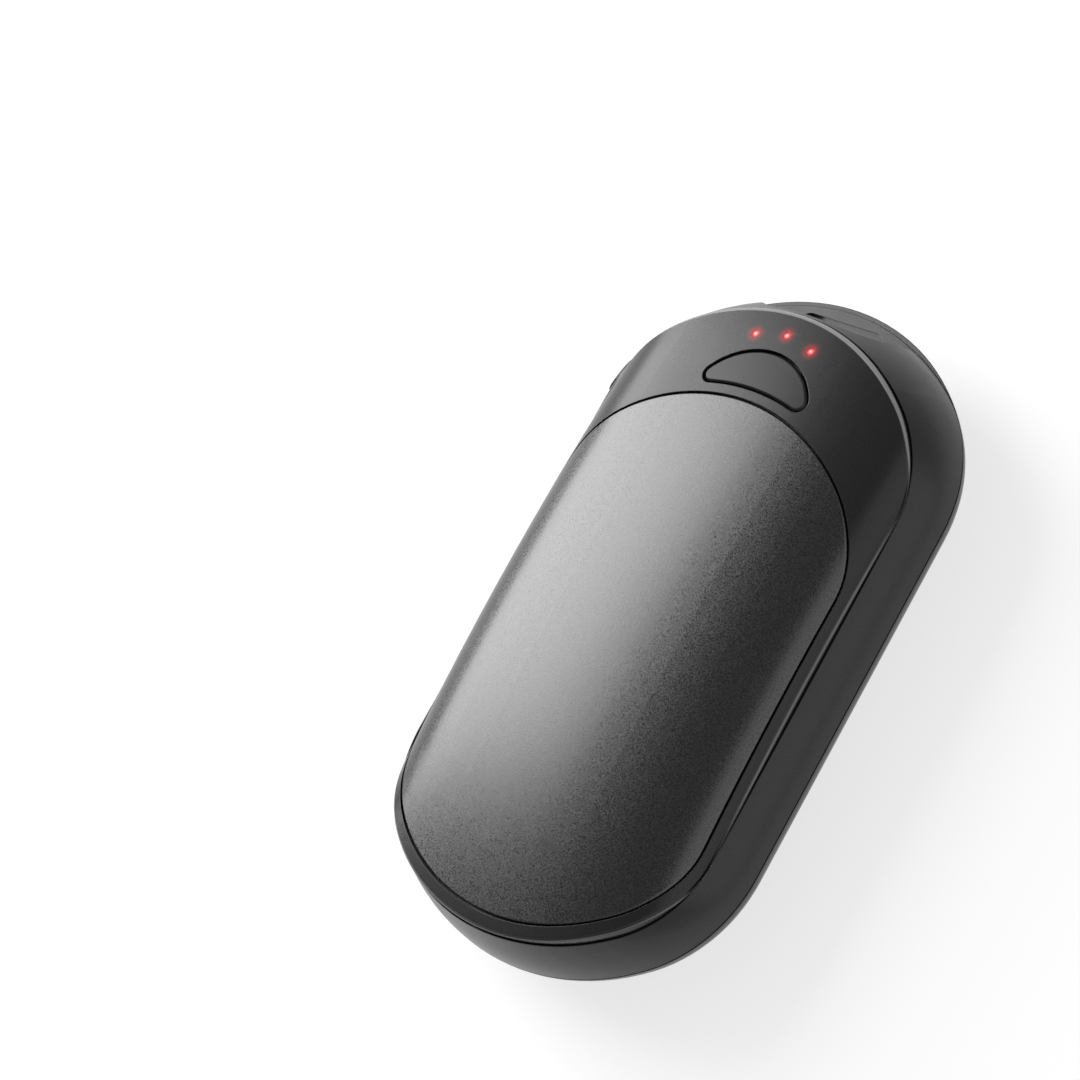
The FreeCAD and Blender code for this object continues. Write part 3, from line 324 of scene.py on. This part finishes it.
# Status lights: three small packages on the board, under the light guide's pins.
# Each is a pale resin cup filled with clear red.
CUP_DARK = (0.70, 0.65, 0.57)
CUP_LIGHT = (0.80, 0.76, 0.68)
CUP_GLOSS = (0.25, 0.4)
CUP_SCALE = 3000.0
LENS_RED = (0.85, 0.16, 0.10)
PACKAGE_TOP = 0.01345
LENS_THIN = 0.00005
led_resin, tree, shader = new_finish("led_resin", CUP_DARK)
place = place_on_piece(tree)
lens = ramp(tree, axes(tree, place)["Z"], PACKAGE_TOP - LENS_THIN, PACKAGE_TOP)
mottle = noise(tree, place, Scale=CUP_SCALE)
cup = tint(tree, mottle, CUP_DARK, CUP_LIGHT)
feed(shader, Base_Color=tint(tree, lens, cup, LENS_RED), Roughness=spread(tree, mottle, *CUP_GLOSS))
wear(led_resin, "status_leds")

# Tact switch: a black nylon case soldered on the board under the button.
# A round acetal plunger rides in it.
switch_nylon = moulded("switch_nylon", dark=(0.022, 0.022, 0.022), light=(0.04, 0.04, 0.04),
                       smooth=0.42, rough=0.5)
wear(switch_nylon, "switch_body")
plunger_acetal = moulded("plunger_acetal", dark=(0.30, 0.30, 0.29), light=(0.38, 0.38, 0.37),
                         smooth=0.3, rough=0.36)
wear(plunger_acetal, "switch_plunger")

# Charging inlet: a drawn stainless sleeve, with draw marks along it, round a black tongue whose gold-plated
# contacts lie side by side. It is let into the board's edge and points out through the upper left wall.
INLET_AT = (-0.02724, 0.03627, 0.0125)
INLET_TURN = math.radians(-29)
STEEL_DARK = (0.46, 0.46, 0.47)
STEEL_LIGHT = (0.62, 0.62, 0.63)
STEEL_GLOSS = (0.22, 0.38)
MARK_STRETCH = (0.04, 1, 1)
MARK_SCALE = 7000.0
MARK_DEPTH = 0.000004
TONGUE_DARK = (0.015, 0.015, 0.015)
TONGUE_LIGHT = (0.03, 0.03, 0.03)
TONGUE_SCALE = 4000.0
CONTACT_GOLD = (0.80, 0.55, 0.20)
CONTACT_GLOSS = (0.45, 0.25)
CONTACT_STEP = 0.00025
CONTACT_EDGE = (0.4 * CONTACT_STEP, 0.5 * CONTACT_STEP)
ROW_END = (0.00290, 0.00285)
CONTACT_FRONT = (0.0048, 0.0049)
CONTACT_BACK = (0.0090, 0.0089)


def inlet_place(tree):
    """Place measured from the wall along the inlet, across it and up."""
    turned = lay(tree, "Mapping", (place_on_piece(tree), "Vector"), vector_type="TEXTURE", Location=INLET_AT,
                 Rotation=(0, 0, INLET_TURN))
    return turned.outputs["Vector"]


sleeve_steel, tree, shader = new_finish("sleeve_steel", STEEL_DARK, metallic=1.0)
drawn = lay(tree, "Mapping", (inlet_place(tree), "Vector"), Scale=MARK_STRETCH).outputs["Vector"]
marks = noise(tree, drawn, Scale=MARK_SCALE, Detail=2.0)
feed(shader, Base_Color=tint(tree, marks, STEEL_DARK, STEEL_LIGHT),
     Roughness=spread(tree, marks, *STEEL_GLOSS), Normal=relief(tree, marks, MARK_DEPTH, strength=0.5))
wear(sleeve_steel, "usb_socket_shell")

tongue_black, tree, shader = new_finish("tongue_black", TONGUE_DARK)
inward, across = axes(tree, inlet_place(tree))[:2]
gold = ramp(tree, work(tree, "PINGPONG", across, CONTACT_STEP), *CONTACT_EDGE)
aside = work(tree, "ABSOLUTE", across)
for way, edge in ((aside, ROW_END), (inward, CONTACT_FRONT), (inward, CONTACT_BACK)):
    gold = work(tree, "MULTIPLY", gold, ramp(tree, way, *edge))
black = tint(tree, noise(tree, place_on_piece(tree), Scale=TONGUE_SCALE), TONGUE_DARK, TONGUE_LIGHT)
feed(shader, Base_Color=tint(tree, gold, black, CONTACT_GOLD), Metallic=gold,
     Roughness=between(tree, gold, *CONTACT_GLOSS))
wear(tongue_black, "usb_socket_tongue")

# Leads: stranded wires in silicone jackets, soldered at both ends.
# The cell's pair is red and black, and the heaters' leads are white.
WIRE_BLACK = (0.02, 0.02, 0.02)
WIRE_RED = (0.45, 0.02, 0.015)
WIRE_WHITE = (0.62, 0.61, 0.58)
WIRE_GLOSS = (0.45, 0.65)
BETWEEN_WIRES = 0.0002
TALC_GREY = (0.6, 0.6, 0.6)
TALC_SCALE = 1800.0
TALC_RANGE = (0.45, 0.75)
TALC_SHARE = 0.2


def silicone(name, left, right):
    """Wire jacket: one colour on each side of the middle, dulled by fine talc."""
    material, tree, shader = new_finish(name, left)
    place = place_on_piece(tree)
    jacket = tint(tree, ramp(tree, axes(tree, place)["X"], -BETWEEN_WIRES, BETWEEN_WIRES), left, right)
    talc = noise(tree, place, Scale=TALC_SCALE, Detail=3.0)
    dusty = ramp(tree, talc, *TALC_RANGE, 0.0, TALC_SHARE)
    feed(shader, Base_Color=tint(tree, dusty, jacket, TALC_GREY), Roughness=spread(tree, talc, *WIRE_GLOSS))
    return material


wear(silicone("cell_jacket", WIRE_BLACK, WIRE_RED), "battery_leads")
wear(silicone("heater_jacket", WIRE_WHITE, WIRE_WHITE), "front_heater_leads", "rear_heater_leads")

# Screws: small zinc-plated steel screws, with a painted highlight along their edges.
# Four close the case and two hold the board.
SCREW_GRAIN = {"Width": 0.00009, "Depth": 0.000003, "Edge": 0.0001}
ZINC_COLD = (0.34, 0.34, 0.36)
ZINC_WARM = (0.50, 0.49, 0.47)
ZINC_EDGE_HIGHLIGHT = (0.62, 0.62, 0.61)
ZINC_GLOSS = (0.24, 0.38)
screw_zinc, tree, shader = new_finish("screw_zinc", ZINC_COLD, metallic=1.0)
skin = place_effect(tree, fine_grain, **SCREW_GRAIN).outputs
zinc = tint(tree, skin["Cloud"], ZINC_COLD, ZINC_WARM)
# Edges get a paler zinc: a painted edge highlight.
feed(shader, Base_Color=tint(tree, skin["Rim"], zinc, ZINC_EDGE_HIGHLIGHT),
     Roughness=between(tree, skin["Tone"], *ZINC_GLOSS), Normal=skin["Normal"])
wear(screw_zinc, "case_screws", "board_screws")

# Mid housing: the ring that makes the sloping wall, with the strap's scoop at its top end.
# It is moulded like the rear shell and screwed down onto it.
wear(shell_black, "mid_housing")

# Flap over the charging inlet and the stud that ties it to the wall: soft thermoplastic rubber, duller than
# the shells round it.
flap_rubber = moulded("flap_rubber", dark=(0.018, 0.018, 0.019), light=(0.028, 0.028, 0.029),
                      smooth=0.44, rough=0.52)
wear(flap_rubber, "port_cover", "port_cover_anchor")

# Front bezel: a satin black moulded frame that stands on the housing's ledge. A bevel is cut along its
# outline, and a pale band painted on it, which runs out down the sides, is a painted highlight; a red glow
# painted round the three lights' holes stands in for their light on the plastic.
FACE_MIDDLE_Y = -0.00165
STRAIGHT_HALF = 0.02539
NOSE_HALF = 0.008
CORNER_R = 0.01836
NOSE_R = 0.03084
NOSE_SINK = 0.00958
ARC_JOIN = 0.0001
BEVEL_HIGHLIGHT_GREY = (0.32, 0.32, 0.325)
BEVEL_RUN_OUT = (0.030, 0.0415)
BEVEL_THIN = 0.00010
BEVEL_WIDE = 0.00066
BEVEL_BLUR = 0.00005
BEVEL_LIP = (0.00002, 0.00008)
BEZEL_SHINE = 0.38
LIGHT_PLACES = ((-0.0048, 0.0402), (0.0, 0.0413), (0.0048, 0.0402))
PAINTED_GLOW_RED = (0.55, 0.012, 0.012)
PAINTED_GLOW_REACH = (0.0019, 0.0003)
PAINTED_GLOW_FALL = 2.6
UNLIT = (0.0, 0.0, 0.0)
CROWN_LINES = ((0.01046, 0.0060, 10.0), (0.01670, 0.0050, 23.3), (0.02172, 0.0034, 71.1))


def from_outline(tree):
    """Distance in from the face's outline: straight sides, corner arcs and a wider nose arc at each end."""
    parts = axes(tree, place_on_piece(tree))
    aside = work(tree, "ABSOLUTE", parts["X"])
    along = work(tree, "ABSOLUTE", work(tree, "SUBTRACT", parts["Y"], FACE_MIDDLE_Y))
    along = work(tree, "MAXIMUM", work(tree, "SUBTRACT", along, STRAIGHT_HALF), 0.0)
    past = work(tree, "SUBTRACT", aside, NOSE_HALF)
    reach = []
    for radius, x, y in ((NOSE_R, aside, work(tree, "ADD", along, NOSE_SINK)), (CORNER_R, past, along)):
        spoke = lay(tree, "CombineXYZ", (x, "X"), (y, "Y")).outputs["Vector"]
        length = lay(tree, "VectorMath", (spoke, 0), operation="LENGTH").outputs["Value"]
        reach.append(work(tree, "SUBTRACT", radius, length))
    at_corner = work(tree, "SUBTRACT", work(tree, "MULTIPLY", past, NOSE_SINK / NOSE_HALF), along)
    return pick(tree, ramp(tree, at_corner, 0.0, ARC_JOIN), *reach)


def make_near_light():
    """Distance over the face from the nearest of the three lights."""
    tree, _, result = new_effect("near_light", {}, {"Distance": "Float"})
    flat = lay(tree, "VectorMath", (place_on_piece(tree), 0), operation="MULTIPLY")
    flat.inputs[1].default_value = (1, 1, 0)
    distances = []
    for x, y in LIGHT_PLACES:
        away = lay(tree, "VectorMath", (flat.outputs["Vector"], 0), operation="DISTANCE")
        away.inputs[1].default_value = (x, y, 0)
        distances.append(away.outputs["Value"])
    nearest = work(tree, "MINIMUM", work(tree, "MINIMUM", distances[0], distances[1]), distances[2])
    feed(result, Distance=nearest)
    return tree


def make_eased_crown():
    """Eases the face over the lines where the crown's arcs meet: a place, a half width and a step in bend."""
    tree, given, result = new_effect("eased_crown", {"Normal": "Vector"}, {"Normal": "Vector"})
    across = axes(tree, place_on_piece(tree))["X"]
    side = work(tree, "ABSOLUTE", across)
    lean = 0.0
    for line, half, step in CROWN_LINES:
        away = work(tree, "ABSOLUTE", work(tree, "SUBTRACT", side, line))
        near = work(tree, "MAXIMUM", work(tree, "SUBTRACT", half, away), 0.0)
        eased = work(tree, "MULTIPLY", work(tree, "POWER", near, 2.0), step / (4 * half))
        lean = work(tree, "ADD", eased, lean)
    lean = work(tree, "MULTIPLY", lean, work(tree, "SIGN", across))
    aside = lay(tree, "CombineXYZ", (lean, "X")).outputs["Vector"]
    leant = lay(tree, "VectorMath", (given["Normal"], 0), (aside, 1), operation="ADD").outputs["Vector"]
    feed(result, Normal=lay(tree, "VectorMath", (leant, 0), operation="NORMALIZE").outputs["Vector"])
    return tree


near_light = make_near_light()
eased_crown = make_eased_crown()


def ease_crown(material):
    """Put the eased crown between a finish's grain and its shader, and give the tree and the shader."""
    tree = material.node_tree
    shader = tree.nodes["Principled BSDF"]
    crown = place_effect(tree, eased_crown)
    feed(crown, Normal=tree.nodes["fine_grain"].outputs["Normal"])
    feed(shader, Normal=crown.outputs["Normal"])
    return tree, shader


bezel_satin = moulded("bezel_satin", dark=(0.013, 0.013, 0.0135), light=(0.021, 0.021, 0.0215),
                      smooth=0.26, rough=0.28)
tree, shader = ease_crown(bezel_satin)
shader.inputs["Specular IOR Level"].default_value = BEZEL_SHINE
# A pale band painted along the bevel, thin at the sides and wider towards the top end, is a painted
# highlight.
width = ramp(tree, axes(tree, place_on_piece(tree))["Y"], *BEVEL_RUN_OUT, BEVEL_THIN, BEVEL_WIDE)
inward = from_outline(tree)
bevel_highlight = ramp(tree, work(tree, "SUBTRACT", width, inward), -BEVEL_BLUR, BEVEL_BLUR)
bevel_highlight = work(tree, "MULTIPLY", bevel_highlight, ramp(tree, inward, *BEVEL_LIP))
black = shader.inputs["Base Color"].links[0].from_socket
# A red glow painted into the bezel round the three light holes stands in for their light on the plastic.
painted_glow = ramp(tree, place_effect(tree, near_light).outputs["Distance"], *PAINTED_GLOW_REACH)
painted_glow = work(tree, "POWER", painted_glow, PAINTED_GLOW_FALL)
feed(shader, Base_Color=tint(tree, bevel_highlight, black, BEVEL_HIGHLIGHT_GREY),
     Emission_Color=tint(tree, painted_glow, UNLIT, PAINTED_GLOW_RED))
shader.inputs["Emission Strength"].default_value = 1.0
wear(bezel_satin, "front_bezel")

# Power button: the half moon, moulded in the bezel's plastic and a shade duller.
# A flange holds it behind the bezel.
BUTTON_SHINE = 0.34
button_satin = moulded("button_satin", dark=(0.014, 0.014, 0.0145), light=(0.022, 0.022, 0.0225),
                       smooth=0.28, rough=0.30)
tree, shader = ease_crown(button_satin)
shader.inputs["Specular IOR Level"].default_value = BUTTON_SHINE
wear(button_satin, "power_button")

# Light guide: one clear moulding whose three pins end flush in the bezel.
# It is lit from below: each pin's end is nearly white in its middle and red at its rim.
GUIDE_RED = (0.30, 0.01, 0.01)
GUIDE_GLOSS = (0.2, 0.3)
HAZE_SCALE = 2500.0
PIN_CORE = (0.00034, 0.00010)
PIN_RIM_RED = (0.70, 0.015, 0.014)
PIN_CORE_WHITE = (1.0, 0.52, 0.50)
guide_lit, tree, shader = new_finish("guide_lit", GUIDE_RED)
core = ramp(tree, place_effect(tree, near_light).outputs["Distance"], *PIN_CORE)
haze = noise(tree, place_on_piece(tree), Scale=HAZE_SCALE)
feed(shader, Roughness=spread(tree, haze, *GUIDE_GLOSS),
     Emission_Color=tint(tree, core, PIN_RIM_RED, PIN_CORE_WHITE))
shader.inputs["Emission Strength"].default_value = 1.3
wear(guide_lit, "light_guide")

# Front warming plate: a crowned aluminium sheet, pressed, blasted and anodised like the rear one.
# It is bonded into the bezel's pocket.
crowned_grey = blasted("crowned_gunmetal")
ease_crown(crowned_grey)
wear(crowned_grey, "front_heat_plate")

# Camera: a long lens that looks down on the front from the right.
# It is turned so that the button end points up and to the right.
CAMERA_EYE = Vector((0.22643, -0.05485, 0.32262))
CAMERA_RIGHT = Vector((0.7198, 0.4853, -0.4963))
CAMERA_BACK = Vector((0.6260, -0.1450, 0.7662))
camera = bpy.data.objects.new("camera", bpy.data.cameras.new("camera"))
camera.data.sensor_width = 36.0
camera.data.lens = 95.32
camera.data.clip_start = 0.01
back = CAMERA_BACK.normalized()
right = (CAMERA_RIGHT - back * CAMERA_RIGHT.dot(back)).normalized()
turn = Matrix((right, back.cross(right), back)).transposed().to_4x4()
camera.matrix_world = Matrix.Translation(CAMERA_EYE) @ turn
scene.collection.objects.link(camera)
scene.camera = camera

# Studio: a large soft box at the left, a weak one at the right, and surroundings that dim towards the top.
# The floor is white paper that keeps the shadow.
SKY_RISE = (0.1, 0.85)
SKY_LEVEL = (0.48, 0.25)
FLOOR_HALF = 1.5
FLOOR_DROP = 0.0002
FLOOR_GREY = (0.4, 0.4, 0.4)
FLOOR_WHITE = 0.70


def soft_box(name, round_turn, rise, roll, distance, width, height, watts):
    """Soft box that faces the object from a turn about the upright and a rise above the floor, in degrees."""
    lamp = bpy.data.lights.new(name, "AREA")
    lamp.shape = "RECTANGLE"
    lamp.size = width
    lamp.size_y = height
    lamp.energy = watts
    box = bpy.data.objects.new(name, lamp)
    level = math.cos(math.radians(rise))
    toward = Vector((level * math.cos(math.radians(round_turn)), level * math.sin(math.radians(round_turn)),
                     math.sin(math.radians(rise))))
    facing = toward.to_track_quat("Z", "Y").to_matrix().to_4x4()
    facing = facing @ Matrix.Rotation(math.radians(roll), 4, "Z")
    box.matrix_world = Matrix.Translation(toward * distance) @ facing
    scene.collection.objects.link(box)


soft_box("key", round_turn=168, rise=34, roll=9, distance=1.0, width=0.57, height=0.79, watts=9.5)
soft_box("fill", round_turn=8, rise=28, roll=0, distance=1.2, width=1.2, height=0.9, watts=2.1)

world = bpy.data.worlds.new("studio")
world.use_nodes = True
tree = world.node_tree
sky = tree.nodes["Background"]
sky.inputs["Color"].default_value = (1, 1, 1, 1)
up = axes(tree, lay(tree, "TexCoord").outputs["Generated"])["Z"]
feed(sky, Strength=ramp(tree, up, *SKY_RISE, *SKY_LEVEL))
scene.world = world

sheet = bmesh.new()
bmesh.ops.create_grid(sheet, x_segments=1, y_segments=1, size=FLOOR_HALF)
bmesh.ops.translate(sheet, verts=sheet.verts, vec=(0, 0, -FLOOR_DROP))
mesh = bpy.data.meshes.new("floor")
sheet.to_mesh(mesh)
sheet.free()
floor = bpy.data.objects.new("floor", mesh)
scene.collection.objects.link(floor)
paper, tree, shader = new_finish("floor_paper", FLOOR_GREY)
shader.inputs["Roughness"].default_value = 0.9
shader.inputs["Emission Color"].default_value = (1, 1, 1, 1)
rays = lay(tree, "LightPath").outputs
seen = work(tree, "MAXIMUM", rays["Is Camera Ray"], rays["Is Glossy Ray"])
seen = work(tree, "MAXIMUM", seen, rays["Is Transmission Ray"])
feed(shader, Emission_Strength=work(tree, "MULTIPLY", seen, FLOOR_WHITE))
mesh.materials.append(paper)
